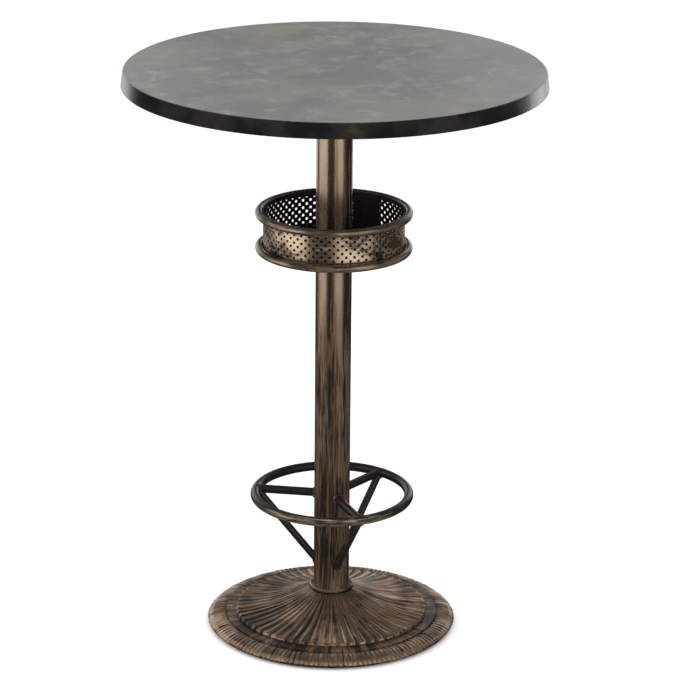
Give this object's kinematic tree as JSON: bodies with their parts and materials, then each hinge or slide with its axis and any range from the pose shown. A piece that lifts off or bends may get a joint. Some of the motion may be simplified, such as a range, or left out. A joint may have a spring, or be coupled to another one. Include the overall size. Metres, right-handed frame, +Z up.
{
  "type": "bistro table",
  "caption": "Bar-height round bistro table: stone-look top, steel column with a perforated basket and a braced foot ring, fluted round cast base on levelling feet.",
  "frame": {"origin": "centre of the base on the floor, under the column", "axes": "+Z up along the column; the seam of the basket is behind, towards +Y"},
  "size_m": [0.7719, 0.7719, 1.08],
  "materials": {
    "slate_board": "satin-matt moulded board with a mottled slate-look face",
    "antique_bronze": "satin black-brown paint, dry-brushed with bronze",
    "bronzed_casting": "cast iron painted black-brown, bronze rubbed on the raised flutes",
    "black_spider": "satin black paint",
    "zinc_fixings": "zinc-plated steel",
    "brass_insert": "turned brass",
    "glide_plastic": "black moulded nylon"
  },
  "bodies": {
    "table": {"table_top": "slate_board", "top_inserts": "brass_insert", "top_screws": "zinc_fixings", "top_spider": "black_spider", "column_tube": "antique_bronze", "tie_rod": "zinc_fixings", "tie_rod_top_nut": "zinc_fixings", "tie_rod_base_nut": "zinc_fixings", "tie_rod_top_washer": "zinc_fixings", "tie_rod_base_washer": "zinc_fixings", "column_collar": "antique_bronze", "foot_ring": "antique_bronze", "foot_ring_spoke_1": "antique_bronze", "foot_ring_spoke_2": "antique_bronze", "foot_ring_spoke_3": "antique_bronze", "foot_ring_brace_1": "antique_bronze", "foot_ring_brace_2": "antique_bronze", "foot_ring_brace_3": "antique_bronze", "basket_top_ring": "antique_bronze", "basket_bottom_ring": "antique_bronze", "basket_band": "antique_bronze", "basket_seam_strip": "antique_bronze", "basket_floor": "antique_bronze", "basket_hub": "antique_bronze", "basket_grub_screws": "zinc_fixings", "base_casting": "bronzed_casting"},
    "foot_1": {"leveller_pad_1": "glide_plastic", "leveller_stud_1": "zinc_fixings"},
    "foot_2": {"leveller_pad_2": "glide_plastic", "leveller_stud_2": "zinc_fixings"},
    "foot_3": {"leveller_pad_3": "glide_plastic", "leveller_stud_3": "zinc_fixings"},
    "foot_4": {"leveller_pad_4": "glide_plastic", "leveller_stud_4": "zinc_fixings"}
  },
  "joints": [
    {"name": "foot_1_travel", "type": "slide", "parent": "table", "child": "foot_1", "axis": [0, 0, -1], "range_m": [0, 0.01]},
    {"name": "foot_2_travel", "type": "slide", "parent": "table", "child": "foot_2", "axis": [0, 0, -1], "range_m": [0, 0.01]},
    {"name": "foot_3_travel", "type": "slide", "parent": "table", "child": "foot_3", "axis": [0, 0, -1], "range_m": [0, 0.01]},
    {"name": "foot_4_travel", "type": "slide", "parent": "table", "child": "foot_4", "axis": [0, 0, -1], "range_m": [0, 0.01]}
  ]
}
